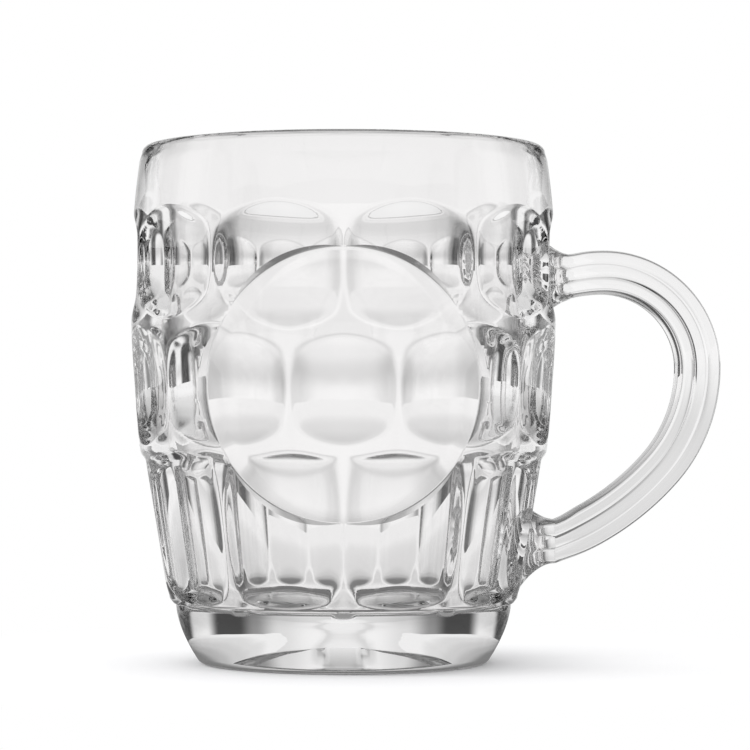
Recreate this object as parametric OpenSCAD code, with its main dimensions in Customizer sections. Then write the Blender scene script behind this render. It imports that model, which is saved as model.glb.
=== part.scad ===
// Dimpled glass beer mug: a pressed bowl with three rows of thumb-print
// dimples and a plain round panel in front, and a ribbed loop handle that is
// stuck hot to two pads on the bowl. Millimetres, +Z up, the handle towards +X,
// the round panel towards -Y, the origin on the axis of the bowl at the table.

/* [Bowl] */
// Height from the table to the top of the lip
mug_h = 125; // [118:1:135]
// Outer radius of the bowl at its fullest
belly_r = 51.5; // [50:0.5:54]
// Height of the fullest part
belly_z = 91; // [86:1:96]
// Radius of the curve of the side above the belly
upper_side_r = 216; // [190:1:300]
// Radius of the curve of the side below the belly
lower_side_r = 350; // [330:1:450]
// Thickness of the glass at the lip
lip_t = 3.9; // [3:0.1:4.5]
// Thickness of the glass at the belly, at the ridges
wall_t = 7.2; // [6.5:0.1:9]
// Radius of the curve of the inner wall below the belly
inner_side_r = 420; // [380:1:600]
// Height of the drinking side of the floor above the table
floor_z = 15; // [13:0.5:18]
// Radius of the inside corner round the floor
floor_corner_r = 19; // [14:0.5:22]

/* [Foot] */
// Height of the plain foot
foot_h = 14.7; // [13:0.1:16]
// How far the foot stands in from the ridges above it
foot_step = 2.7; // [2.5:0.1:3.5]
// How much the foot narrows down to its rounded corner
foot_taper = 1.3; // [0.5:0.1:2]
// Radius of the rounded bottom corner
foot_corner_r = 8; // [5:0.5:9]
// Width of the ring that the mug stands on
ring_w = 3; // [2:0.5:5]
// Depth of the hollow under the foot
punt_d = 2.5; // [1.5:0.1:3.5]
// How far the ridges run down over the foot
rib_drop = 2.2; // [1:0.1:3]
// Width of the end of a ridge at the top of the foot
rib_top_w = 3.3; // [2.5:0.1:3.5]
// Width of the end of a ridge at its bottom
rib_low_w = 1.9; // [1:0.1:2.4]
// How far the end of a ridge stands in from the ridge above it
rib_step = 0.3; // [0.2:0.1:0.6]

/* [Dimples] */
// Number of dimples round the bowl in each row
dimple_n = 10; // [8:1:12]
// Width of the ridge between two dimples at its narrowest
ridge_w = 1; // [0.6:0.1:2]
// Radius of the hollow of a dimple, seen from above
hollow_r = 93; // [80:1:140]
// Height of the top edge of the top row
top_row_z = 109.3; // [107:0.1:112]
// Height of the ridge between the top and the middle row
upper_ridge_z = 81.8; // [79:0.1:84]
// Height of the ridge between the middle and the bottom row
lower_ridge_z = 52.3; // [50:0.1:55]
// Radius of the hollow of a dimple, seen from the side
hollow_side_r = 59; // [50:1:90]
// Radius of the hollow of a tall flute, seen from the side
flute_side_r = 400; // [300:10:600]
// Radius of the shoulder at the top and bottom of a dimple
shoulder_r = 20; // [18:0.5:26]
// Radius of the shoulder at the top of a flute
flute_shoulder_r = 34; // [30:0.5:45]
// How far the curve of a flute runs on below the top of the foot
flute_run = 9.7; // [6:0.1:12]
// How far a flute leans in at its foot, in degrees
flute_lean = 0.9; // [0:0.1:2]

/* [Round panel] */
// Radius of the plain round panel on the front
panel_r = 31.5; // [28:0.5:34]
// Height of the centre of the panel
panel_z = 66.8; // [64:0.1:70]

/* [Handle] */
// Distance from the belly to the middle of the grip
grip_reach = 34.3; // [31:0.1:43]
// Height of the middle line at the top of the handle
handle_top_z = 94.5; // [92:0.1:97]
// Radius of the middle line in the upper bend
upper_bend_r = 23.1; // [21:0.1:26]
// Radius of the middle line where it runs in to the upper pad
root_bend_r = 33; // [28:0.5:45]
// Radius of the middle line in the lower bend
lower_bend_r = 37; // [34:0.5:40]
// Angle that the lower bend turns through
lower_bend_a = 42; // [38:0.5:46]
// Radius of the middle line in the tail
tail_bend_r = 64.4; // [58:0.1:72]
// Thickness of the handle in the plane of the loop
handle_t = 10.4; // [9:0.1:11]
// Width of the handle across the loop
handle_w = 11.6; // [10.5:0.1:12]
// Radius of one rib of the handle
rib_r = 2.1; // [1.9:0.1:2.3]
// How far the upper joint face stands out past the belly
upper_joint_out = 2.7; // [2:0.1:4.5]
// How far the lower joint face stands in from the belly
lower_joint_in = 0.5; // [-1:0.1:1.5]
// Radius of the round pads on the bowl that take the ends of the handle
pad_r = 6.3; // [6:0.1:7]
// Radius of the fillet from a pad to the bowl
pad_fillet = 3.5; // [2.5:0.5:4]

/* [Hidden] */
glass_c = "lightcyan";
over = 1;
big_fn = 720;
turn_fn = 180;
rib_fn = 48;
arc_steps = 10;
fillet_steps = 5;

// Outer radius of the plain bowl at height z, before the dimples
function side_r(z) = z > belly_z ? upper_side_r : lower_side_r;
function env_r(z) = belly_r - side_r(z) + sqrt(pow(side_r(z), 2) - pow(z - belly_z, 2));
// Slope of the plain side at height z, in degrees, positive where it faces down
function env_tilt(z) = asin((belly_z - z) / side_r(z));

// Points of an arc about [x, y] from angle a0 to a1
function arc_points(x, y, r, a0, a1, n = arc_steps) =
    [for (i = [0:n]) let (a = a0 + (a1 - a0) * i / n) [x + r * cos(a), y + r * sin(a)]];

// Lip: a full round on the wall
lip_outer_r = env_r(mug_h);
lip_r = lip_t / 2;
lip_x = lip_outer_r - lip_r;
lip_z = mug_h - lip_r;

// Inner wall: an arc that bulges less than the outside
inner_r = belly_r - wall_t;
inner_cx = inner_r - inner_side_r;
function wall_r(z) = inner_cx + sqrt(pow(inner_side_r, 2) - pow(z - belly_z, 2));
corner_z = floor_z + floor_corner_r;
corner_x = wall_r(corner_z) - floor_corner_r;
mouth_r = lip_outer_r - lip_t;

// Foot: a cone with a rounded bottom corner
foot_corner_z = foot_corner_r;
rib_out_r = env_r(foot_h);
rib_end_r = rib_out_r - rib_step;
// Width of the end of a ridge at a height above the top of the foot
function rib_w(up) = rib_top_w + (rib_top_w - rib_low_w) * up / rib_drop;
foot_top_r = rib_out_r - foot_step;
foot_low_r = foot_top_r - foot_taper;
foot_flat_r = foot_low_r - foot_corner_r;
punt_r = foot_flat_r - ring_w;
// Sphere that makes the hollow under the foot
punt_ball_r = (pow(punt_r, 2) + pow(punt_d, 2)) / (2 * punt_d);

// Pitch of the dimples and the angle from the middle of one to its edge
pitch_a = 360 / dimple_n;
function edge_a(z) = pitch_a / 2 - asin(ridge_w / 2 / env_r(z));
// Depth of a dimple whose hollow just meets the ridges beside it
function hollow_depth(z) = let (r = env_r(z), a = edge_a(z))
    r + hollow_r - r * cos(a) - sqrt(pow(hollow_r, 2) - pow(r * sin(a), 2));

// Distance from the axis to the middle of a dimple at height z
function hollow_x(z) = env_r(z) - hollow_depth(z);

// Rows from the top down: lower edge, upper edge, side radius, shoulder, lean
rows = [
    [upper_ridge_z + ridge_w / 2, top_row_z, hollow_side_r, shoulder_r, 0],
    [lower_ridge_z + ridge_w / 2, upper_ridge_z - ridge_w / 2, hollow_side_r, shoulder_r, 0],
    [foot_h - flute_run, lower_ridge_z - ridge_w / 2, flute_side_r, flute_shoulder_r, flute_lean]];

// Joint faces and middle line of the handle
upper_joint_x = belly_r + upper_joint_out;
lower_joint_x = belly_r - lower_joint_in;
grip_x = belly_r + grip_reach;
upper_c = [grip_x - upper_bend_r, handle_top_z - upper_bend_r];
root_c = [upper_c[0], handle_top_z - root_bend_r];
lower_c = [grip_x - lower_bend_r, upper_c[1]];
tail_c = lower_c - (tail_bend_r - lower_bend_r) * [cos(lower_bend_a), -sin(lower_bend_a)];
// Angles at which the middle line crosses the two joint faces
root_end_a = acos((upper_joint_x - root_c[0]) / root_bend_r);
tail_end_a = acos((lower_joint_x - tail_c[0]) / tail_bend_r);
upper_pad_z = root_c[1] + root_bend_r * sin(root_end_a);
lower_pad_z = tail_c[1] - tail_bend_r * sin(tail_end_a);
rib_x = handle_t / 2 - rib_r;
rib_y = handle_w / 2 - rib_r;
// How deep the fillet of a pad starts below the glass
pad_sink_share = 0.4;
pad_sink = pad_fillet * pad_sink_share;
// Back and belly of the handle's core
core_bulge_share = 1 / 16;
core_bulge = rib_r * core_bulge_share;
core_r_share = 0.7;
core_r = handle_w * core_r_share;
// Inner end of a pad, inside the wall before the space is cut out
pad_start_x = inner_r / 2;
// How far past a joint face a bend is drawn before it is cut off, in degrees
run_on_a = 12;
end_cut = 2 * handle_w;

// Solid of revolution of the outside between two heights, on one side curve
module side_band(z0, z1, r) {
    rotate_extrude($fn = turn_fn)
        intersection() {
            translate([belly_r - r, belly_z]) circle(r = r, $fn = big_fn);
            translate([0, z0]) square([belly_r + over, z1 - z0]);
        }
}

// Plain bowl before it is dimpled, without its foot
module plain_bowl() {
    side_band(belly_z, lip_z, upper_side_r);
    side_band(foot_h, belly_z, lower_side_r);
    // Lip
    rotate_extrude($fn = turn_fn)
        polygon(concat([[0, lip_z - over]], [[lip_x, lip_z - over]],
            arc_points(lip_x, lip_z, lip_r, 0, 180), [[0, lip_z]]));
    rib_ends();
}

// Ends of the ridges, which run down a little way over the foot
module rib_ends() {
    rib_run = rib_drop + over;
    rib_root = rib_step / 2;
    intersection() {
        rotate_extrude($fn = turn_fn)
            polygon([[0, foot_h - rib_run], [rib_end_r - rib_run, foot_h - rib_run],
                [rib_end_r + rib_root, foot_h + rib_root], [0, foot_h + rib_root]]);
        for (k = [0:dimple_n - 1])
            rotate([0, 0, k * pitch_a - 90])
                rotate([90, 0, 90])
                linear_extrude(height = belly_r)
                polygon([for (e = [[-1, -rib_drop], [1, -rib_drop], [1, over], [-1, over]])
                    [e[0] * rib_w(e[1]) / 2, foot_h + e[1]]]);
    }
}

// Cutter for one dimple: a barrel that bulges in from the skin at x = 0
module hollow(half_h, depth, side_radius, shoulder) {
    sector_a = 2 * asin((tan(pitch_a / 2) * belly_r) / hollow_r);
    shoulder_x = hollow_r - depth - sqrt(pow(shoulder, 2) - pow(half_h, 2));
    translate([hollow_r - depth, 0, 0])
        rotate([0, 0, 180 - sector_a / 2])
        rotate_extrude(angle = sector_a, $fn = big_fn)
        intersection() {
            translate([hollow_r - side_radius, 0]) circle(r = side_radius, $fn = big_fn);
            translate([shoulder_x, 0]) circle(r = shoulder, $fn = turn_fn);
            translate([hollow_r - 2 * depth, -2 * half_h]) square([3 * depth, 4 * half_h]);
        }
}

// One dimple of a row, in its place on the side of the bowl
module dimple(row, azimuth) {
    z0 = row[0];
    z1 = row[1];
    z = (z0 + z1) / 2;
    rotate([0, 0, azimuth])
        translate([env_r(z), 0, z])
        rotate([0, env_tilt(z) - row[4], 0])
        hollow((z1 - z0) / 2, hollow_depth(z), row[2], row[3]);
}

// Every second dimple of all rows, so that no two of a set touch; the ones in
// front stop at the edge of the round panel
module dimples(set) {
    for (i = [0:len(rows) - 1])
        for (k = [set:2:dimple_n - 1]) {
            azimuth = -90 + (k + (i == 1 ? 0 : 0.5)) * pitch_a;
            off_front = abs(((azimuth + 90 + 180) % 360) - 180);
            if (off_front < asin(panel_r / belly_r) + pitch_a / 2)
                difference() {
                    dimple(rows[i], azimuth);
                    translate([0, 0, panel_z])
                        rotate([90, 0, 0])
                        cylinder(r = panel_r, h = 2 * belly_r, $fn = turn_fn);
                }
            else
                dimple(rows[i], azimuth);
        }
}

module foot() {
    rotate_extrude($fn = turn_fn)
        polygon(concat([[0, 0]],
            arc_points(foot_flat_r, foot_corner_z, foot_corner_r, -90, 0),
            [[foot_top_r, foot_h], [0, foot_h]]));
}

// Space inside the bowl
module cavity() {
    rotate_extrude($fn = turn_fn)
        polygon(concat([[0, floor_z]],
            arc_points(corner_x, corner_z, floor_corner_r, -90, 0),
            [for (i = [1:arc_steps]) let (z = corner_z + (belly_z - corner_z) * i / arc_steps)
                [wall_r(z), z]],
            [[mouth_r, mug_h - lip_t], [mouth_r, lip_z]],
            [[mouth_r, mug_h + over], [0, mug_h + over]]));
}

// Pad on the bowl that takes one end of the handle: a round boss behind the
// joint face, with a round fillet down to the glass
module pad(joint_x, z, glass_x) {
    root_x = glass_x - pad_sink;
    translate([0, 0, z])
        rotate([0, 90, 0])
        rotate_extrude($fn = turn_fn)
        polygon(concat([[0, joint_x], [0, pad_start_x], [pad_r + pad_fillet, pad_start_x]],
            arc_points(pad_r + pad_fillet, root_x + pad_fillet, pad_fillet, 270, 180, fillet_steps),
            [[pad_r, joint_x]]));
}

module bowl() {
    color(glass_c)
        difference() {
            union() {
                difference() {
                    difference() {
                        plain_bowl();
                        dimples(0);
                    }
                    dimples(1);
                }
                foot();
                pad(upper_joint_x, upper_pad_z, hollow_x(upper_pad_z));
                pad(lower_joint_x, lower_pad_z, hollow_x(lower_pad_z));
            }
            cavity();
            translate([0, 0, punt_d - punt_ball_r]) sphere(r = punt_ball_r, $fn = big_fn);
        }
}

// Ribbed section of the handle: six ribs round a core with full back and belly
module handle_section() {
    for (i = [-1:1])
        for (j = [-1, 1])
            translate([i * rib_x, j * rib_y]) circle(r = rib_r, $fn = rib_fn);
    intersection() {
        translate([handle_t / 2 + core_bulge - core_r, 0]) circle(r = core_r, $fn = turn_fn);
        translate([core_r - core_bulge - handle_t / 2, 0]) circle(r = core_r, $fn = turn_fn);
        square([2 * handle_t, 2 * rib_y], center = true);
    }
}

// One bend of the handle about a centre in the plane of the loop
module bend(centre, radius, a0, a1) {
    translate([centre[0], 0, centre[1]])
        rotate([90, 0, 0])
        rotate([0, 0, a0])
        rotate_extrude(angle = a1 - a0, $fn = big_fn)
        translate([radius, 0]) handle_section();
}

// Core that ties two bends together where they meet
module tie(centre, radius, a) {
    translate([centre[0], 0, centre[1]])
        rotate([0, -a, 0])
        translate([radius, 0, 0]) cube([handle_t / 2, handle_w / 2, rib_r], center = true);
}

// Block that cuts a bend off at a joint face
module end_block(x, z) {
    translate([x - end_cut, -end_cut / 2, z - end_cut / 2]) cube([end_cut, end_cut, end_cut]);
}

module handle() {
    color(glass_c)
        difference() {
            union() {
                bend(root_c, root_bend_r, 90, root_end_a + run_on_a);
                bend(upper_c, upper_bend_r, 0, 90);
                bend(lower_c, lower_bend_r, -lower_bend_a, 0);
                bend(tail_c, tail_bend_r, -tail_end_a - run_on_a, -lower_bend_a);
                tie(upper_c, upper_bend_r, 90);
                tie(upper_c, upper_bend_r, 0);
                tie(lower_c, lower_bend_r, -lower_bend_a);
            }
            end_block(upper_joint_x, upper_pad_z);
            end_block(lower_joint_x, lower_pad_z);
        }
}

bowl();
handle();
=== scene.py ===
"""Looks of a dimpled glass beer mug in clear pressed glass, in the frame of its CAD model.

Metres, +Z up, the handle towards +X, the round panel towards -Y, the origin on the axis of the bowl at the
table.
"""

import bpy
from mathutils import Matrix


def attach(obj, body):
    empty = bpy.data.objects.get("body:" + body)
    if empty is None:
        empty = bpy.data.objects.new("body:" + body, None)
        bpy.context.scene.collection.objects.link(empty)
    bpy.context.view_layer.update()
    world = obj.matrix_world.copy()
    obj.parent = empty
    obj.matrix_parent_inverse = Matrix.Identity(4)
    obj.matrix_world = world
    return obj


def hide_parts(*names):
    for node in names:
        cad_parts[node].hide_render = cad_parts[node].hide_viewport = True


bl_info = {
    "name": "Dimpled glass beer mug",
    "version": (1, 0, 0),
    "blender": (4, 5, 0),
    "location": "3D view, sidebar, Mug",
    "description": "A pressed glass beer mug with dimples, a plain round panel and a ribbed handle",
    "category": "Object",
}

import bpy
import numpy as np

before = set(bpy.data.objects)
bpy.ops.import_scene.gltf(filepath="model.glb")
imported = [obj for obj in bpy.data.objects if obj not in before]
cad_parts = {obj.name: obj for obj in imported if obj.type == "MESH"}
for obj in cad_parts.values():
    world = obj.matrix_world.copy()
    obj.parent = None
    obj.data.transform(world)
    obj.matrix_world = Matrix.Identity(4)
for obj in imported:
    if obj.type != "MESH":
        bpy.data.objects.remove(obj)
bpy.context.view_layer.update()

MM = 0.001
GLASS = "pressed_glass"
JOINT = "joint_inside_the_glass"

# What the glass sees, as pairs of a place and a brightness. ROOM runs from the backdrop, at 0, round both
# sides to straight behind the camera, at 1. CEILING runs from the horizon up to overhead. The floor's greys
# run outwards from the axis of the mug, in metres, and hold a painted shadow of the mug, darkest a few
# centimetres out.
ROOM = (
    (0.0, 1.0), (0.035, 0.98), (0.08, 0.78), (0.12, 0.3), (0.15, 0.06), (0.2, 0.06), (0.24, 1.0), (0.3, 1.0),
    (0.34, 0.05), (0.41, 0.05), (0.45, 1.0), (0.53, 1.0), (0.57, 0.3), (0.7, 0.25), (0.84, 0.45), (1.0, 0.55),
)
CEILING = ((0.0, 0.98), (0.08, 0.74), (0.2, 0.9), (0.4, 1.0), (0.6, 0.5), (1.0, 0.3))
# Painted shadow: the floor glows for the glass in these greys, darker close to the mug in place of its lit
# shadow.
PAINTED_TABLE_SHADOW = (
    (0.0, 0.55), (0.03, 0.3), (0.05, 0.14), (0.09, 0.2), (0.13, 0.5), (0.2, 0.66), (0.35, 0.76), (0.8, 0.92),
)

# The photograph in pixels: its width, the axis of the bowl, the horizon and the focal length.
PHOTO_WIDTH = 750.0
PHOTO_AXIS_X = 343.5
PHOTO_HORIZON_Y = 410.0
PHOTO_FOCAL = 2972.0

# Rings of the bowl: how strongly they crowd towards the edges of the dimples, and their spacing in
# millimetres under the ends of the ridges, under the ledge at the top of the foot, and twice above the
# dimples.
RING_PULL = 0.6
FOOT_GAP = 0.2
LEDGE_GAP = 0.12
TOP_GAPS = (0.0, 0.35, 0.8)
BAND_GAP = 2.0


def length(label, words, default, low=0.0):
    """A size in millimetres for the sidebar."""
    words = words + ", mm"
    return bpy.props.FloatProperty(name=label, description=words, default=default, min=low, precision=3)


def number(label, words, default):
    """A plain number for the sidebar, such as a share, a power or an angle in degrees."""
    return bpy.props.FloatProperty(name=label, description=words, default=default)


def colour(label, words, default):
    """A colour for the sidebar."""
    return bpy.props.FloatVectorProperty(
        name=label, description=words, subtype="COLOR", size=3, default=default, min=0.0, max=1.0)


class MugBowlSizes(bpy.types.PropertyGroup):
    """Sizes of the bowl in millimetres."""

    height: length("Height", "From the table to the top of the lip", 125.0)
    belly_radius: length("Belly radius", "Outer radius at the fullest height", 51.5)
    belly_height: length("Belly height", "Height of the fullest part", 91.0)
    upper_side_radius: length("Upper side radius", "Radius of the curve of the side above the belly", 216.0)
    lower_side_radius: length("Lower side radius", "Radius of the curve of the side below the belly", 350.0)
    lip_thickness: length("Lip thickness", "Thickness of the glass at the lip", 3.9)
    inner_radius: length("Inner radius", "Radius of the inside at the belly", 44.3)
    inner_side_radius: length("Inner side radius", "Radius of the curve of the inner wall", 420.0)
    floor_height: length("Floor height", "Height of the drinking side of the floor", 13.7)
    floor_corner: length("Floor corner", "Radius of the inside corner round the floor", 6.0)
    foot_height: length("Foot height", "Height of the plain foot", 14.7)
    foot_top_radius: length("Foot top radius", "Radius of the foot at its top", 40.58)
    foot_draw: length("Foot draw", "How far the curve of the foot draws in at the table", 5.9)
    foot_power: number("Foot curve", "Power of the curve of the foot", 1.7)
    foot_corner: length("Foot corner", "Width of the rounded corner at the table", 1.8)
    punt_radius: length("Hollow radius", "Radius of the hollow under the foot", 28.1)
    punt_depth: length("Hollow depth", "Depth of the hollow under the foot", 2.5)
    rib_drop: length("Rib drop", "How far the ridges run down over the foot", 2.2)
    foot_fade: length("Ridge fade", "How far the side bends in at the top of the foot", 1.9)
    fade_height: length("Fade height", "Height over which the side bends in above the foot", 6.0)
    rib_top: length("Rib end", "Width of the end of a ridge at the top of the foot", 3.9)
    rib_low: length("Rib tip", "Width of the end of a ridge at its bottom", 1.9)
    rib_slope: number("Rib slope", "How far the end of a ridge draws in as it runs down, as a share", 0.5)
    rib_flank: number("Rib flank", "Slope of the flanks of the end of a ridge", 4.0)


class MugDimpleSizes(bpy.types.PropertyGroup):
    """Sizes of the dimples in millimetres and degrees."""

    count: bpy.props.IntProperty(
        name="Dimples", description="Number of dimples in a row", default=10, min=6, max=14)
    ridge_width: length("Ridge width", "Width of the ridge between two dimples", 1.0)
    hollow_radius: length("Hollow radius", "Radius of a dimple seen from above", 93.0)
    top_height: length("Top edge", "Height of the top edge of the top row", 109.3)
    upper_ridge: length("Upper ridge", "Height of the ridge under the top row", 81.8)
    lower_ridge: length("Lower ridge", "Height of the ridge under the middle row", 52.3)
    side_radius: length("Side radius", "Radius of a dimple seen from the side", 59.0)
    flute_side_radius: length("Flute side radius", "Radius of a tall flute seen from the side", 400.0)
    shoulder: length("Shoulder", "Radius of the shoulder in the middle of a dimple", 28.0)
    flute_shoulder: length("Flute shoulder", "Radius of the shoulder in the middle of a flute", 32.5)
    corner_share: number("Corner", "Shoulder at the sides as a share of the middle's", 0.62)
    flute_run: length("Flute run", "How far a flute runs on below the top of the foot", 2.2)
    flute_lean: number("Flute lean", "How far a flute leans in, degrees", 0.9)
    crest: length("Crest rounding", "How far the fire polish has rounded the dimples' edges", 0.45, 0.01)
    end_share: number("End rounding", "Rounding inside the ends of a dimple as a share of the crest's", 3.0)
    panel_radius: length("Panel radius", "Radius of the plain round panel", 31.5)
    panel_height: length("Panel height", "Height of the centre of the panel", 66.8)
    panel_draft: number("Panel draft", "Slope of the edge of the panel", 0.45)
    panel_edge: length("Panel edge", "Radius of the rounded edge of the panel", 0.45)
    panel_rise: length("Panel rise", "How far the panel stands proud of the ridges", 0.08)


class MugHandleSizes(bpy.types.PropertyGroup):
    """Sizes of the handle in millimetres and degrees."""

    grip_x: length("Reach", "From the axis of the bowl to the middle of the grip", 85.8)
    top_height: length("Top height", "Height of the middle line at the top", 94.5)
    upper_bend: length("Upper bend", "Radius of the middle line in the upper bend", 23.1)
    root_bend: length("Root bend", "Radius of the middle line at the upper pad", 33.0)
    lower_bend: length("Lower bend", "Radius of the middle line in the lower bend", 37.0)
    lower_angle: number("Lower angle", "Turn of the lower bend, degrees", 42.0)
    tail_bend: length("Tail bend", "Radius of the middle line in the tail", 64.4)
    thickness: length("Thickness", "Thickness in the plane of the loop", 10.4)
    width: length("Width", "Width across the loop", 11.6)
    rib_radius: length("Rib radius", "Radius of one rib", 2.1)
    groove_fill: length("Groove fill", "Rounding of the grooves between the ribs", 0.5, 0.01)
    core_share: number("Core", "Radius of the back and the belly of the core as a share of the width", 0.7)
    upper_joint: length("Upper joint", "From the axis of the bowl to the upper joint", 54.2)
    lower_joint: length("Lower joint", "From the axis of the bowl to the lower joint", 51.0)
    pad_radius: length("Pad radius", "Radius of a pad at its root in the glass, before the flare", 6.3)
    pad_root: length("Pad root", "How deep a pad is sunk into the glass", 0.8)
    turn_run: length("Turn", "Over how much of its length an end of the handle turns upright", 11.0)
    upper_flare: length("Upper flare", "How far the upper pad flares out to the bowl", 3.6)
    lower_flare: length("Lower flare", "How far the lower pad flares out to the bowl", 4.8)
    flare_run: length("Flare run", "How far out from the bowl a flare begins", 9.0)


class MugGlassLook(bpy.types.PropertyGroup):
    """Colour and surface of the glass."""

    tint: colour("Tint", "Colour of the glass", (0.995, 0.99, 0.99))
    ior: number("IOR", "Index of refraction of soda lime glass", 1.52)
    ripple: number("Ripple", "Strength of the ripples of pressed glass", 0.03)
    ripple_scale: number("Ripple scale", "How many ripples stand in a metre", 45.0)
    foot_light: number("Light through the foot", "Share of the lamps' light that passes at the table", 0.12)
    side_light: number("Light through the side", "Share of the lamps' light that passes above the foot", 0.94)
    foot_top: length("Foot", "Height over which the share of the light rises", 14.0)


class MugStudio(bpy.types.PropertyGroup):
    """Floor, backdrop, lamps and camera."""

    floor_color: colour("Floor colour", "Colour of the floor", (0.92, 0.92, 0.93))
    fade_start: length("Fade start", "From the axis of the bowl to where the floor begins to lighten", 40.0)
    fade_end: length("Fade end", "From the axis of the bowl to where the floor is white", 130.0)
    fade_least: number("Fade", "Share of the backdrop's white in the floor under the mug", 0.05)
    floor_half: length("Floor size", "Half the width of the floor", 3000.0)
    floor_drop: length("Floor drop", "How far the floor lies below the foot", 0.05)
    camera_distance: length("Camera distance", "From the axis of the bowl to the camera", 721.3)
    camera_height: length("Camera height", "Height of the camera above the table", 61.2)


def bowl_side(sizes, z):
    """Outer radius of the plain bowl at height z: one arc above the belly and a flatter one below it."""
    r = np.where(z > sizes.belly_height, sizes.upper_side_radius, sizes.lower_side_radius)
    return sizes.belly_radius - r + np.sqrt(r ** 2 - (z - sizes.belly_height) ** 2)


def soft_min(a, b, k):
    """The smaller of a and b, with the edge between them rounded over a height difference of k."""
    h = np.clip(k - np.abs(a - b), 0.0, None) / k
    return np.minimum(a, b) - h * h * k / 4


def dimple_rows(sizes, dimples):
    """Lower edge, upper edge, side radius, shoulder, lean and first azimuth of each row of dimples."""
    half = dimples.ridge_width / 2
    step = 2 * np.pi / dimples.count
    return (
        (dimples.upper_ridge + half, dimples.top_height,
         dimples.side_radius, dimples.shoulder, 0.0, step / 2),
        (dimples.lower_ridge + half, dimples.upper_ridge - half,
         dimples.side_radius, dimples.shoulder, 0.0, 0.0),
        (sizes.foot_height - dimples.flute_run, dimples.lower_ridge - half,
         dimples.flute_side_radius, dimples.flute_shoulder, np.radians(dimples.flute_lean), step / 2),
    )


def dimpled_side(sizes, dimples, theta, z):
    """Radius of the dimpled side. Each dimple is a barrel of revolution whose axis stands outside the glass
    and leans with the side. Its radius falls off towards its ends by the side radius and, near them, by the
    shoulder, which is tighter at the sides, so that the outline is a round-cornered box. The radius of the
    surface is the least of the plain side and all barrels, solved along the ray from the axis in a few
    rounds."""
    low = np.clip((sizes.foot_height + sizes.fade_height - z) / sizes.fade_height, 0.0, 1.0)
    plain = bowl_side(sizes, z) - sizes.foot_fade * low ** 2
    least = plain.copy()
    step = 2 * np.pi / dimples.count
    big = dimples.hollow_radius
    broad = dimples.end_share * dimples.crest
    spare = 1.0
    rounds = 6
    longest = 6.0
    for z0, z1, side, shoulder, lean, first in dimple_rows(sizes, dimples):
        mid = (z0 + z1) / 2
        half = (z1 - z0) / 2
        at_mid = float(bowl_side(sizes, np.array(mid)))
        edge = step / 2 - np.arcsin(dimples.ridge_width / 2 / at_mid)
        depth = at_mid + big - at_mid * np.cos(edge) - np.sqrt(big ** 2 - (at_mid * np.sin(edge)) ** 2)
        side_r = sizes.upper_side_radius if mid > sizes.belly_height else sizes.lower_side_radius
        tilt = np.arcsin((sizes.belly_height - mid) / side_r) - lean
        azimuth = theta + np.pi / 2 - first
        turn = azimuth - np.round(azimuth / step) * step
        row = plain + broad
        for shift in (-step, 0.0, step):
            r = plain.copy()
            for _ in range(rounds):
                dx = r * np.cos(turn + shift) - at_mid
                u = dx * np.cos(tilt) - (z - mid) * np.sin(tilt)
                v = dx * np.sin(tilt) + (z - mid) * np.cos(tilt)
                w = r * np.sin(turn + shift)
                barrel = big - side + np.sqrt(np.clip(side ** 2 - v ** 2, 0.0, None))
                inside = np.clip(1 - (w / (at_mid * np.sin(edge))) ** 2, 0.0, 1.0)
                tight = dimples.corner_share + (1 - dimples.corner_share) * inside
                bend = np.maximum(shoulder * tight, half + spare)
                fall = np.sqrt(bend ** 2 - half ** 2) - np.sqrt(np.clip(bend ** 2 - v ** 2, 0.0, None))
                reach = soft_min(barrel, big - depth - fall, broad)
                r = r + np.clip(np.hypot(u - (big - depth), w) - reach, -longest, longest)
            row = soft_min(row, r, dimples.crest)
        least = soft_min(least, row, dimples.crest)
    return least


def crowded(start, end, steps, pull):
    """Heights from start to end, closer together at both ends by the share pull."""
    t = np.linspace(0.0, 1.0, steps + 1)
    return start + (end - start) * (t - pull * np.sin(2 * np.pi * t) / (2 * np.pi))


def closed_rings(rings):
    """Mesh arrays of a closed surface from rings of points, with a pole at both ends. rings has the shape
    (ring, point round the ring, 3), and the first and last ring have shrunk to a point."""
    count, around = rings.shape[:2]
    body = rings[1:-1].reshape(-1, 3)
    verts = np.vstack([body, rings[0, :1], rings[-1, :1]])
    i = np.arange(count - 3)[:, None]
    j = np.arange(around)[None, :]
    k = (j + 1) % around
    quads = np.stack([i * around + j, i * around + k, (i + 1) * around + k, (i + 1) * around + j], axis=-1)
    quads = quads.reshape(-1, 4)
    j, k = j[0], k[0]
    low = np.stack([np.full(around, len(body)), k, j], axis=-1)
    base = (count - 3) * around
    high = np.stack([np.full(around, len(body) + 1), base + j, base + k], axis=-1)
    return verts, quads, np.vstack([low, high])


def mesh_object(name, verts, quads, tris):
    """A smooth mesh object in metres from points in millimetres. The volume that the faces enclose, summed
    over their corners seen from the origin, is positive where they point outwards, and else they are turned
    round."""
    corners = np.concatenate([quads[:, [0, 1, 2]], quads[:, [0, 2, 3]], tris])
    a, b, c = verts[corners[:, 0]], verts[corners[:, 1]], verts[corners[:, 2]]
    if np.einsum("ij,ij->", a, np.cross(b, c)) < 0:
        quads, tris = quads[:, ::-1], tris[:, ::-1]
    mesh = bpy.data.meshes.new(name)
    loops = np.concatenate([quads.ravel(), tris.ravel()])
    starts = np.concatenate([np.arange(len(quads)) * 4, len(quads) * 4 + np.arange(len(tris)) * 3])
    mesh.vertices.add(len(verts))
    mesh.vertices.foreach_set("co", (verts * MM).astype(np.float32).ravel())
    mesh.loops.add(len(loops))
    mesh.loops.foreach_set("vertex_index", loops.astype(np.int32))
    mesh.polygons.add(len(starts))
    mesh.polygons.foreach_set("loop_start", starts.astype(np.int32))
    mesh.update(calc_edges=True)
    mesh.validate()
    mesh.polygons.foreach_set("use_smooth", np.ones(len(mesh.polygons), dtype=bool))
    piece = bpy.data.objects.new(name, mesh)
    bpy.context.scene.collection.objects.link(piece)
    return piece


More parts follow.
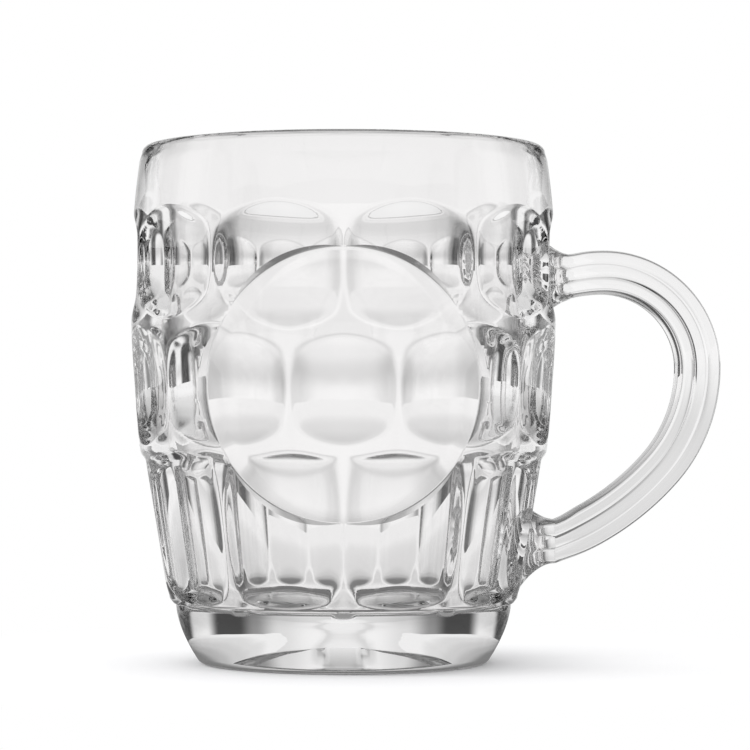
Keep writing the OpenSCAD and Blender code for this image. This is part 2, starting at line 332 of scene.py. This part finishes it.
def fuse(piece, tools):
    """Fuses the tools into the piece as one closed skin and deletes them."""
    for tool in tools:
        change = piece.modifiers.new("fuse", "BOOLEAN")
        change.operation = "UNION"
        change.solver = "MANIFOLD"
        change.object = tool
    graph = bpy.context.evaluated_depsgraph_get()
    mesh = bpy.data.meshes.new_from_object(piece.evaluated_get(graph))
    piece.modifiers.clear()
    piece.data = mesh
    for tool in tools:
        bpy.data.objects.remove(tool)
    return piece


def bowl_profile(sizes, dimples):
    """Profile of the bowl from the middle of the hollow under the foot, round the foot, up the side, over
    the lip, down the inner wall and along the floor to the axis, as radius, height and a mark that is 1 on
    the dimpled side. The hollow is part of a ball, and the foot's corner is a curve with three control
    points."""
    ball = (sizes.punt_radius ** 2 + sizes.punt_depth ** 2) / (2 * sizes.punt_depth)
    r = np.linspace(0.0, sizes.punt_radius, 9)
    punt = np.stack([r, sizes.punt_depth - ball + np.sqrt(ball ** 2 - r ** 2)], axis=1)
    t = np.linspace(0.0, 1.0, 7)[:, None]
    toe = float(foot_side(sizes, 0.0))
    rise = sizes.foot_corner / 2
    ends = np.array([[toe - sizes.foot_corner, 0.0], [toe, 0.0], [float(foot_side(sizes, rise)), rise]])
    corner = (1 - t) ** 2 * ends[0] + 2 * t * (1 - t) * ends[1] + t ** 2 * ends[2]
    ribs_end = sizes.foot_height - sizes.rib_drop
    z = np.linspace(rise, ribs_end - FOOT_GAP, 14)[1:]
    foot = np.stack([foot_side(sizes, z), z], axis=1)
    z = np.concatenate([
        np.linspace(ribs_end, sizes.foot_height - LEDGE_GAP, 10),
        crowded(sizes.foot_height, dimples.lower_ridge, 52, RING_PULL)[:-1],
        crowded(dimples.lower_ridge, dimples.upper_ridge, 46, RING_PULL)[:-1],
        crowded(dimples.upper_ridge, dimples.top_height, 44, RING_PULL)[:-1],
        dimples.top_height + np.array(TOP_GAPS),
    ])
    side = np.stack([bowl_side(sizes, z), z], axis=1)
    lip_r = sizes.lip_thickness / 2
    lip_out = float(bowl_side(sizes, np.array(sizes.height)))
    lip_z = sizes.height - lip_r
    z = np.linspace(dimples.top_height + BAND_GAP, lip_z, 8)[:-1]
    band = np.stack([bowl_side(sizes, z), z], axis=1)
    a = np.linspace(0.0, np.pi, 13)
    lip = np.stack([lip_out - lip_r + lip_r * np.cos(a), lip_z + lip_r * np.sin(a)], axis=1)
    corner_z = sizes.floor_height + sizes.floor_corner
    z = np.linspace(lip_z, sizes.belly_height, 6)[1:]
    mouth = lip_out - sizes.lip_thickness
    blend = (z - sizes.belly_height) / (lip_z - sizes.belly_height)
    throat = np.stack([inner_wall(sizes, z) * (1 - blend) + mouth * blend, z], axis=1)
    z = np.linspace(sizes.belly_height, corner_z, 13)[1:]
    wall = np.stack([inner_wall(sizes, z), z], axis=1)
    corner_x = float(inner_wall(sizes, np.array(corner_z))) - sizes.floor_corner
    a = np.linspace(0.0, -np.pi / 2, 11)[1:]
    cove = np.array([corner_x, corner_z]) + sizes.floor_corner * np.stack([np.cos(a), np.sin(a)], axis=1)
    r = np.linspace(corner_x, 0.0, 5)[1:]
    floor = np.stack([r, np.full(len(r), sizes.floor_height)], axis=1)
    parts = (punt, corner, foot, side, band, lip, throat, wall, cove, floor)
    mark = np.concatenate([np.full(len(p), float(p is side)) for p in parts])
    return np.concatenate(parts), mark


def foot_side(sizes, z):
    """Radius of the side of the foot: it draws in towards the table by a power of the depth below its
    top."""
    below = np.clip(1 - z / sizes.foot_height, 0.0, 1.0)
    return sizes.foot_top_radius - sizes.foot_draw * below ** sizes.foot_power


def inner_wall(sizes, z):
    """Radius of the inner wall: one flat arc that is fullest at the belly."""
    below = np.minimum(z - sizes.belly_height, 0.0)
    return sizes.inner_radius - sizes.inner_side_radius + np.sqrt(sizes.inner_side_radius ** 2 - below ** 2)


def bowl_rings(sizes, dimples):
    """The bowl as rings. Angles crowd towards the ridges, which stand at every half pitch in one row or
    another. On the dimpled side the radius comes from the barrels. Below the top of the foot it is the
    larger of the foot's side and the ends of the ridges, which run down over it and narrow downwards."""
    profile, mark = bowl_profile(sizes, dimples)
    sectors = 2 * dimples.count
    steps = 19
    crowding = 0.62
    ledge_slope = 3.0
    hair = 0.05
    t = np.arange(steps) / steps
    offset = t - crowding * np.sin(2 * np.pi * t) / (2 * np.pi)
    theta = (np.arange(sectors)[:, None] + offset[None, :]).ravel() * 2 * np.pi / sectors - np.pi / 2
    radius = np.repeat(profile[:, :1], len(theta), axis=1)
    height = np.repeat(profile[:, 1:], len(theta), axis=1)
    on_side = mark > 0.5
    angles = np.repeat(theta[None, :], int(on_side.sum()), axis=0)
    z = height[on_side]
    r = dimpled_side(sizes, dimples, angles, z)
    below = sizes.foot_height - z
    at_foot = float(bowl_side(sizes, np.array(sizes.foot_height))) - sizes.foot_fade
    pitch = 2 * np.pi / dimples.count
    turn = (angles + np.pi / 2) / pitch
    beside = np.abs(turn - np.round(turn)) * pitch * r
    half = (sizes.rib_top + (sizes.rib_low - sizes.rib_top) * below / sizes.rib_drop) / 2
    flank = np.clip(beside - half, 0.0, None) * sizes.rib_flank
    rib = np.minimum(r, at_foot - below * sizes.rib_slope) - flank
    foot = foot_side(sizes, z)
    ledge = foot - np.clip(-below, 0.0, None) * ledge_slope
    radius[on_side] = np.where(below > hair, np.maximum(rib, foot), np.maximum(r, ledge))
    return np.stack([radius * np.cos(theta), radius * np.sin(theta), height], axis=-1)


def panel_plug(sizes, dimples):
    """The plain round panel: a round plug whose face is the plain side of the bowl, a hair proud of the
    ridges, with a rounded edge and a wall that widens inwards by the draft. It ends inside the glass, where
    it is fused."""
    around = 240
    flat = 12
    buried = 1.3
    phi = np.linspace(0.0, 2 * np.pi, around, endpoint=False)
    edge = dimples.panel_edge
    a = np.linspace(0.0, np.pi / 2, 5)[1:]
    inner = dimples.panel_radius - edge
    rho = np.concatenate([np.linspace(0.0, inner, flat), inner + edge * np.sin(a)])
    drop = np.concatenate([np.zeros(flat), edge * (1 - np.cos(a))])

    def disc(rho):
        """Places across and up, and the depth of the plug's back, at the radii rho from the middle of the
        panel."""
        x = rho * np.cos(phi)
        z = dimples.panel_height + rho * np.sin(phi)
        return x, z, np.sqrt((inner_wall(sizes, z) + buried) ** 2 - x ** 2)

    x, z, _ = disc(rho[:, None])
    face = np.sqrt((bowl_side(sizes, z) + dimples.panel_rise) ** 2 - x ** 2) - drop[:, None]
    front = np.stack([x, -face, z], axis=-1)
    sunk = np.array([0.6, 1.4, 2.4, 3.6, 5.0])[:, None]
    x, z, deep = disc(dimples.panel_radius + dimples.panel_draft * sunk)
    walls = np.stack([x, -np.maximum(face[-1] - sunk, deep), z], axis=-1)
    outer = dimples.panel_radius + dimples.panel_draft * sunk[-1, 0]
    x, z, deep = disc(np.linspace(outer, 0.0, 9)[1:, None])
    back = np.stack([x, -deep, z], axis=-1)
    return np.concatenate([front, walls, back])


def pad_reach(sizes, dimples, handle, joint):
    """How far a pad reaches from its joint to its root, a little inside the glass."""
    x, z, _ = joint
    return x - float(dimpled_side(sizes, dimples, np.zeros(1), np.array([z]))[0]) + handle.pad_root


def flare(handle, grow, far, up):
    """How much wider a pad is than its plain section at the distance far from its root. It grows towards
    the root along a parabola, and by a fifth more on the lower side, where up is -1, than on the upper
    one."""
    return grow * (1.1 - 0.1 * up) * np.clip(1 - far / handle.flare_run, 0.0, 1.0) ** 2


def pad_rings(handle, joint, reach, grow):
    """A pad that takes one end of the handle. At the joint it has the handle's ribbed section, and towards
    its root it flares out and turns round. A short plain stub runs on from the root into the glass."""
    joint_x, centre_z, _ = joint
    stub = 0.9
    power = 1.3
    phi = np.linspace(0.0, 2 * np.pi, 120, endpoint=False)
    skin = np.linspace(-stub, reach, 17)
    far = np.concatenate([[-stub, -stub], skin, [reach, reach]])[:, None]
    share = np.concatenate([[0.0, 0.5], np.ones(len(skin)), [0.5, 0.0]])[:, None]
    off = np.clip(far, 0.0, None)
    plain = (1 - off / reach) ** power
    radius = ribbed_section(handle, phi) * (1 - plain) + handle.pad_radius * plain
    radius = share * (radius + flare(handle, grow, off, np.cos(phi)))
    x = np.repeat(joint_x - reach + far, len(phi), axis=1)
    return np.stack([x, radius * np.sin(phi), centre_z + radius * np.cos(phi)], axis=-1)


def handle_line(handle):
    """Middle line of the handle from the lower joint, round the grip, to the upper joint: four arcs that
    meet with a common tangent. Gives points and the outward direction of the loop at each, both in the
    plane of the loop."""
    upper = np.array([handle.grip_x - handle.upper_bend, handle.top_height - handle.upper_bend])
    root = np.array([upper[0], handle.top_height - handle.root_bend])
    lower = np.array([handle.grip_x - handle.lower_bend, upper[1]])
    turn = np.radians(handle.lower_angle)
    tail = lower - (handle.tail_bend - handle.lower_bend) * np.array([np.cos(turn), -np.sin(turn)])
    root_end = np.arccos((handle.upper_joint - root[0]) / handle.root_bend)
    tail_end = -np.arccos((handle.lower_joint - tail[0]) / handle.tail_bend)
    spans = (
        (tail, handle.tail_bend, tail_end, -turn, 64),
        (lower, handle.lower_bend, -turn, 0.0, 44),
        (upper, handle.upper_bend, 0.0, np.pi / 2, 60),
        (root, handle.root_bend, np.pi / 2, root_end, 24),
    )
    points, ways = [], []
    for centre, radius, a0, a1, steps in spans:
        a = np.linspace(a0, a1, steps + 1)[: steps + (radius == handle.root_bend)]
        way = np.stack([np.cos(a), np.sin(a)], axis=1)
        points.append(centre + radius * way)
        ways.append(way)
    return np.concatenate(points), np.concatenate(ways)


def ribbed_section(handle, phi):
    """Radius of the handle's section in the direction phi: six round ribs, three on each side of the loop,
    round a core with a full back and belly. It is the furthest of the ribs and the core, with the grooves
    slightly filled."""
    c, s = np.cos(phi), np.sin(phi)
    far = np.zeros_like(phi)
    rib_x = handle.thickness / 2 - handle.rib_radius
    rib_y = handle.width / 2 - handle.rib_radius
    for x in (-rib_x, 0.0, rib_x):
        for y in (-rib_y, rib_y):
            along = x * c + y * s
            miss = x * s - y * c
            hit = handle.rib_radius ** 2 - miss ** 2
            reach = np.where(hit > 0, along + np.sqrt(np.clip(hit, 0.0, None)), 0.0)
            far = -soft_min(-far, -reach, handle.groove_fill)
    core = handle.core_share * handle.width
    proud = handle.rib_radius / 16
    out = handle.thickness / 2 + proud - core
    faces = [side * c + np.sqrt(core ** 2 - (side * s) ** 2) for side in (out, -out)]
    inside = np.minimum(np.minimum(faces[0], faces[1]), rib_y / np.clip(np.abs(s), 1e-3, None))
    return -soft_min(-far, -inside, handle.groove_fill)


def handle_rings(handle, reaches):
    """The handle: the ribbed section carried along the middle line. Near both joints the section turns
    upright, into the plane of the joint, and begins the flare of the pad, whose reach is given for each
    joint."""
    points, ways = handle_line(handle)
    steps = np.concatenate([[0.0], np.cumsum(np.linalg.norm(np.diff(points, axis=0), axis=1))])
    from_low = steps
    from_high = steps[-1] - steps
    phi = np.linspace(0.0, 2 * np.pi, 120, endpoint=False)
    near = np.clip(1 - np.minimum(from_low, from_high) / handle.turn_run, 0.0, 1.0)
    near = near * near * (3 - 2 * near)
    upright = np.where(from_low < from_high, -1.0, 1.0)
    way = ways * (1 - near[:, None]) + np.stack([np.zeros(len(near)), upright], axis=1) * near[:, None]
    way = way / np.linalg.norm(way, axis=1)[:, None]
    low_flare = flare(handle, handle.lower_flare, from_low[:, None] + reaches[0], -np.cos(phi))
    high_flare = flare(handle, handle.upper_flare, from_high[:, None] + reaches[1], np.cos(phi))
    radius = ribbed_section(handle, phi) + low_flare + high_flare
    out = radius * np.cos(phi)
    across = radius * np.sin(phi)
    x = points[:, :1] + out * way[:, :1]
    z = points[:, 1:] + out * way[:, 1:]
    body = np.stack([x, across, z], axis=-1)
    start = np.repeat(body[0].mean(axis=0)[None, None, :], len(phi), axis=1)
    end = np.repeat(body[-1].mean(axis=0)[None, None, :], len(phi), axis=1)
    return np.concatenate([start, (start + body[:1]) / 2, body, (end + body[-1:]) / 2, end])


def glass_material(look):
    """Clear pressed glass: smooth, with the faint ripples that the mould and the fire polish leave. Light
    from the lamps passes to the floor, so that the shadow stays pale, but little of it through the edge of
    the foot."""
    material = bpy.data.materials.new(GLASS)
    material.use_nodes = True
    tree = material.node_tree
    nodes, links = tree.nodes, tree.links
    nodes.clear()
    skin = nodes.new("ShaderNodeBsdfPrincipled")
    skin.inputs["Base Color"].default_value = (*look.tint, 1.0)
    skin.inputs["Roughness"].default_value = 0.0
    skin.inputs["IOR"].default_value = look.ior
    skin.inputs["Transmission Weight"].default_value = 1.0
    place = nodes.new("ShaderNodeTexCoord")
    ripple = nodes.new("ShaderNodeTexNoise")
    ripple.inputs["Scale"].default_value = look.ripple_scale
    ripple.inputs["Detail"].default_value = 1.5
    bump = nodes.new("ShaderNodeBump")
    bump.inputs["Strength"].default_value = look.ripple
    bump.inputs["Distance"].default_value = 0.002
    links.new(place.outputs["Object"], ripple.inputs["Vector"])
    links.new(ripple.outputs["Fac"], bump.inputs["Height"])
    links.new(bump.outputs["Normal"], skin.inputs["Normal"])
    clear = nodes.new("ShaderNodeBsdfTransparent")
    parts = nodes.new("ShaderNodeSeparateXYZ")
    links.new(place.outputs["Object"], parts.inputs[0])
    thick = nodes.new("ShaderNodeMapRange")
    thick.inputs["From Min"].default_value = 0.0
    thick.inputs["From Max"].default_value = look.foot_top * MM
    thick.inputs["To Min"].default_value = look.foot_light
    thick.inputs["To Max"].default_value = look.side_light
    links.new(parts.outputs["Z"], thick.inputs["Value"])
    links.new(thick.outputs["Result"], clear.inputs["Color"])
    rays = nodes.new("ShaderNodeLightPath")
    mix = nodes.new("ShaderNodeMixShader")
    links.new(rays.outputs["Is Shadow Ray"], mix.inputs[0])
    links.new(skin.outputs[0], mix.inputs[1])
    links.new(clear.outputs[0], mix.inputs[2])
    end = nodes.new("ShaderNodeOutputMaterial")
    links.new(mix.outputs[0], end.inputs["Surface"])
    return material


def joint_material():
    """The hot joint inside the glass: nothing shows, since the two pieces have run together."""
    material = bpy.data.materials.new(JOINT)
    material.use_nodes = True
    nodes, links = material.node_tree.nodes, material.node_tree.links
    nodes.clear()
    clear = nodes.new("ShaderNodeBsdfTransparent")
    end = nodes.new("ShaderNodeOutputMaterial")
    links.new(clear.outputs[0], end.inputs["Surface"])
    return material


def dress(piece, joints):
    """Glass on the whole piece, and the joint's material on the faces that lie in a joint plane, each given
    by its place along X, the height of its middle and its radius, in millimetres."""
    sharp = 0.7
    off_plane = 0.02
    off_rim = 0.5
    straight = 0.99
    mesh = piece.data
    mesh.materials.clear()
    mesh.materials.append(bpy.data.materials[GLASS])
    mesh.materials.append(bpy.data.materials[JOINT])
    mesh.set_sharp_from_angle(angle=sharp)
    count = len(mesh.polygons)
    centre = np.empty(count * 3, dtype=np.float32)
    normal = np.empty(count * 3, dtype=np.float32)
    mesh.polygons.foreach_get("center", centre)
    mesh.polygons.foreach_get("normal", normal)
    centre = centre.reshape(-1, 3) / MM
    normal = normal.reshape(-1, 3)
    index = np.zeros(count, dtype=np.int32)
    for x, z, radius in joints:
        flat = (np.abs(centre[:, 0] - x) < off_plane) & (np.abs(normal[:, 0]) > straight)
        flat &= np.hypot(centre[:, 1], centre[:, 2] - z) < radius + off_rim
        index[flat] = 1
    mesh.polygons.foreach_set("material_index", index)


def joint_places(handle):
    """Place along X, height and radius of both joints."""
    points, _ = handle_line(handle)
    ends = ((handle.lower_joint, points[0, 1]), (handle.upper_joint, points[-1, 1]))
    return [(x, z, handle.pad_radius) for x, z in ends]


class MUG_OT_glass(bpy.types.Operator):
    """Make the clear pressed glass"""

    bl_idname = "mug.glass"
    bl_label = "Glass"

    def execute(self, context):
        glass_material(context.scene.mug_glass)
        joint_material()
        return {"FINISHED"}


class MUG_OT_bowl(bpy.types.Operator):
    """Make the pressed bowl with its dimples, round panel, foot and two pads"""

    bl_idname = "mug.bowl"
    bl_label = "Bowl"

    def execute(self, context):
        scene = context.scene
        sizes, dimples, handle = scene.mug_bowl, scene.mug_dimples, scene.mug_handle
        bowl = mesh_object("pressed_bowl", *closed_rings(bowl_rings(sizes, dimples)))
        tools = [mesh_object("panel_plug", *closed_rings(panel_plug(sizes, dimples)))]
        for joint, grow in zip(joint_places(handle), (handle.lower_flare, handle.upper_flare)):
            reach = pad_reach(sizes, dimples, handle, joint)
            tools.append(mesh_object("pad", *closed_rings(pad_rings(handle, joint, reach, grow))))
        fuse(bowl, tools)
        dress(bowl, joint_places(handle))
        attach(bowl, "root")
        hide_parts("bowl")
        return {"FINISHED"}


class MUG_OT_handle(bpy.types.Operator):
    """Make the ribbed loop handle"""

    bl_idname = "mug.handle"
    bl_label = "Handle"

    def execute(self, context):
        scene = context.scene
        sizes, dimples, handle = scene.mug_bowl, scene.mug_dimples, scene.mug_handle
        reaches = [pad_reach(sizes, dimples, handle, joint) for joint in joint_places(handle)]
        loop = mesh_object("ribbed_handle", *closed_rings(handle_rings(handle, reaches)))
        dress(loop, joint_places(handle))
        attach(loop, "root")
        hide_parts("handle")
        return {"FINISHED"}


class MUG_OT_stage(bpy.types.Operator):
    """Make the floor, the backdrop, the lamps and the camera"""

    bl_idname = "mug.stage"
    bl_label = "Stage"

    def execute(self, context):
        scene = context.scene
        studio = scene.mug_studio
        floor = flat_floor(studio)
        white_world(scene)
        soft_lamps(scene)
        place_camera(scene, studio)
        scene.view_settings.view_transform = "Standard"
        scene.cycles.max_bounces = 24
        scene.cycles.transmission_bounces = 20
        scene.cycles.glossy_bounces = 12
        scene.cycles.transparent_max_bounces = 24
        return {"FINISHED"}


def flat_floor(studio):
    """A pale flat floor. Seen directly it keeps the shadow of the mug, and is lightened away from the mug to
    the white of the backdrop. The glass sees instead a glow with a painted shadow of the mug, darker close to
    it."""
    half, low = studio.floor_half, -studio.floor_drop
    verts = np.array([[-half, -half, low], [half, -half, low], [half, half, low], [-half, half, low]])
    floor = mesh_object("floor", verts, np.array([[0, 1, 2, 3]]), np.zeros((0, 3), dtype=int))
    material = bpy.data.materials.new("pale_floor")
    material.use_nodes = True
    nodes, links = material.node_tree.nodes, material.node_tree.links
    nodes.clear()
    matte = nodes.new("ShaderNodeBsdfDiffuse")
    matte.inputs["Color"].default_value = (*studio.floor_color, 1.0)
    glow = nodes.new("ShaderNodeEmission")
    glow.inputs["Color"].default_value = (1.0, 1.0, 1.0, 1.0)
    glow.inputs["Strength"].default_value = 1.0
    rays = nodes.new("ShaderNodeLightPath")
    place = nodes.new("ShaderNodeTexCoord")
    away = nodes.new("ShaderNodeVectorMath")
    away.operation = "LENGTH"
    links.new(place.outputs["Object"], away.inputs[0])
    fade = nodes.new("ShaderNodeMapRange")
    fade.interpolation_type = "SMOOTHSTEP"
    fade.inputs["From Min"].default_value = studio.fade_start * MM
    fade.inputs["From Max"].default_value = studio.fade_end * MM
    fade.inputs["To Min"].default_value = studio.fade_least
    fade.inputs["To Max"].default_value = 1.0
    links.new(away.outputs["Value"], fade.inputs["Value"])
    share = nodes.new("ShaderNodeMath")
    share.operation = "MULTIPLY"
    links.new(fade.outputs["Result"], share.inputs[0])
    links.new(rays.outputs["Is Camera Ray"], share.inputs[1])
    direct = nodes.new("ShaderNodeMixShader")
    links.new(share.outputs[0], direct.inputs[0])
    links.new(matte.outputs[0], direct.inputs[1])
    links.new(glow.outputs[0], direct.inputs[2])
    # Painted shadow: for the glass the floor glows in greys that darken close to the mug instead of being
    # lit.
    table = grey_ramp(nodes, PAINTED_TABLE_SHADOW)
    links.new(away.outputs["Value"], table.inputs["Fac"])
    deep = nodes.new("ShaderNodeEmission")
    links.new(table.outputs["Color"], deep.inputs["Color"])
    seen = nodes.new("ShaderNodeMath")
    seen.operation = "MAXIMUM"
    links.new(rays.outputs["Is Transmission Ray"], seen.inputs[0])
    links.new(rays.outputs["Is Glossy Ray"], seen.inputs[1])
    mix = nodes.new("ShaderNodeMixShader")
    links.new(seen.outputs[0], mix.inputs[0])
    links.new(direct.outputs[0], mix.inputs[1])
    links.new(deep.outputs[0], mix.inputs[2])
    end = nodes.new("ShaderNodeOutputMaterial")
    links.new(mix.outputs[0], end.inputs["Surface"])
    floor.data.materials.append(material)
    return floor


def white_world(scene):
    """A white backdrop. Glass sees it with a darker room beside and behind the camera and with dark flags
    between the backdrop and the side lights, which draw its edges. The light on matt surfaces is even and
    white."""
    world = bpy.data.worlds.new("studio")
    scene.world = world
    world.use_nodes = True
    nodes, links = world.node_tree.nodes, world.node_tree.links
    nodes.clear()
    place = nodes.new("ShaderNodeTexCoord")
    parts = nodes.new("ShaderNodeSeparateXYZ")
    links.new(place.outputs["Generated"], parts.inputs[0])
    turn = nodes.new("ShaderNodeMath")
    turn.operation = "ARCTAN2"
    links.new(parts.outputs["X"], turn.inputs[0])
    links.new(parts.outputs["Y"], turn.inputs[1])
    side = nodes.new("ShaderNodeMath")
    side.operation = "ABSOLUTE"
    links.new(turn.outputs[0], side.inputs[0])
    share = nodes.new("ShaderNodeMath")
    share.operation = "DIVIDE"
    share.inputs[1].default_value = np.pi
    links.new(side.outputs[0], share.inputs[0])
    walls = grey_ramp(nodes, ROOM)
    links.new(share.outputs[0], walls.inputs["Fac"])
    ceiling = grey_ramp(nodes, CEILING)
    links.new(parts.outputs["Z"], ceiling.inputs["Fac"])
    tone = nodes.new("ShaderNodeMath")
    tone.operation = "MULTIPLY"
    links.new(walls.outputs["Color"], tone.inputs[0])
    links.new(ceiling.outputs["Color"], tone.inputs[1])
    rays = nodes.new("ShaderNodeLightPath")
    white = nodes.new("ShaderNodeBackground")
    white.inputs["Color"].default_value = (1.0, 1.0, 1.0, 1.0)
    room = nodes.new("ShaderNodeBackground")
    room.inputs["Color"].default_value = (1.0, 1.0, 1.0, 1.0)
    links.new(tone.outputs[0], room.inputs["Strength"])
    plain = nodes.new("ShaderNodeMath")
    plain.operation = "MAXIMUM"
    links.new(rays.outputs["Is Camera Ray"], plain.inputs[0])
    links.new(rays.outputs["Is Diffuse Ray"], plain.inputs[1])
    mix = nodes.new("ShaderNodeMixShader")
    links.new(plain.outputs[0], mix.inputs[0])
    links.new(room.outputs[0], mix.inputs[1])
    links.new(white.outputs[0], mix.inputs[2])
    end = nodes.new("ShaderNodeOutputWorld")
    links.new(mix.outputs[0], end.inputs["Surface"])


def grey_ramp(nodes, stops):
    """A ramp of greys from pairs of place and brightness."""
    ramp = nodes.new("ShaderNodeValToRGB")
    ramp.color_ramp.interpolation = "EASE"
    line = ramp.color_ramp.elements
    while len(line) < len(stops):
        line.new(0.5)
    for element, (place, grey) in zip(line, stops):
        element.position = place
        element.color = (grey, grey, grey, 1.0)
    return ramp


def soft_lamps(scene):
    """Two soft lamps: one low on the left, which throws the shadow to the right, and a large one above
    behind. The glass shows only the room, and neither lamp."""
    lamps = (("key_lamp", (-1.1, -0.15, 0.6), 0.35, 7.0), ("top_lamp", (0.2, 0.5, 1.3), 0.8, 3.0))
    aim = np.array([0.0, 0.0, 0.06])
    for name, place, size, power in lamps:
        lamp = bpy.data.lights.new(name, "AREA")
        lamp.shape = "SQUARE"
        lamp.size = size
        lamp.energy = power
        holder = bpy.data.objects.new(name, lamp)
        holder.location = place
        way = np.array(place) - aim
        tilt = np.arccos(way[2] / np.linalg.norm(way))
        holder.rotation_euler = (tilt, 0.0, np.arctan2(way[1], way[0]) + np.pi / 2)
        holder.visible_glossy = False
        holder.visible_transmission = False
        scene.collection.objects.link(holder)


def place_camera(scene, studio):
    """A level camera in front of the round panel, with the small shift of the photograph's framing."""
    lens = bpy.data.cameras.new("camera")
    lens.sensor_width = 36.0
    lens.lens = PHOTO_FOCAL * lens.sensor_width / PHOTO_WIDTH
    lens.shift_x = 0.5 - PHOTO_AXIS_X / PHOTO_WIDTH
    lens.shift_y = PHOTO_HORIZON_Y / PHOTO_WIDTH - 0.5
    lens.clip_start = 0.01
    lens.clip_end = 20.0
    camera = bpy.data.objects.new("camera", lens)
    camera.location = (0.0, -studio.camera_distance * MM, studio.camera_height * MM)
    camera.rotation_euler = (np.pi / 2, 0.0, 0.0)
    scene.collection.objects.link(camera)
    scene.camera = camera


class MUG_PT_sidebar(bpy.types.Panel):
    """Lists the pieces of the mug in the sidebar"""

    bl_idname = "MUG_PT_sidebar"
    bl_label = "Beer mug"
    bl_space_type = "VIEW_3D"
    bl_region_type = "UI"
    bl_category = "Mug"

    def draw(self, context):
        for step in ("mug.glass", "mug.bowl", "mug.handle", "mug.stage"):
            self.layout.operator(step)


CLASSES = (MugBowlSizes, MugDimpleSizes, MugHandleSizes, MugGlassLook, MugStudio,
           MUG_OT_glass, MUG_OT_bowl, MUG_OT_handle, MUG_OT_stage, MUG_PT_sidebar)


def register():
    for cls in CLASSES:
        bpy.utils.register_class(cls)
    bpy.types.Scene.mug_bowl = bpy.props.PointerProperty(type=MugBowlSizes)
    bpy.types.Scene.mug_dimples = bpy.props.PointerProperty(type=MugDimpleSizes)
    bpy.types.Scene.mug_handle = bpy.props.PointerProperty(type=MugHandleSizes)
    bpy.types.Scene.mug_glass = bpy.props.PointerProperty(type=MugGlassLook)
    bpy.types.Scene.mug_studio = bpy.props.PointerProperty(type=MugStudio)


def unregister():
    for name in ("mug_bowl", "mug_dimples", "mug_handle", "mug_glass", "mug_studio"):
        delattr(bpy.types.Scene, name)
    for cls in reversed(CLASSES):
        bpy.utils.unregister_class(cls)


def main():
    register()
    bpy.ops.mug.glass()
    bpy.ops.mug.bowl()
    bpy.ops.mug.handle()
    bpy.ops.mug.stage()


if __name__ == "__main__":
    main()
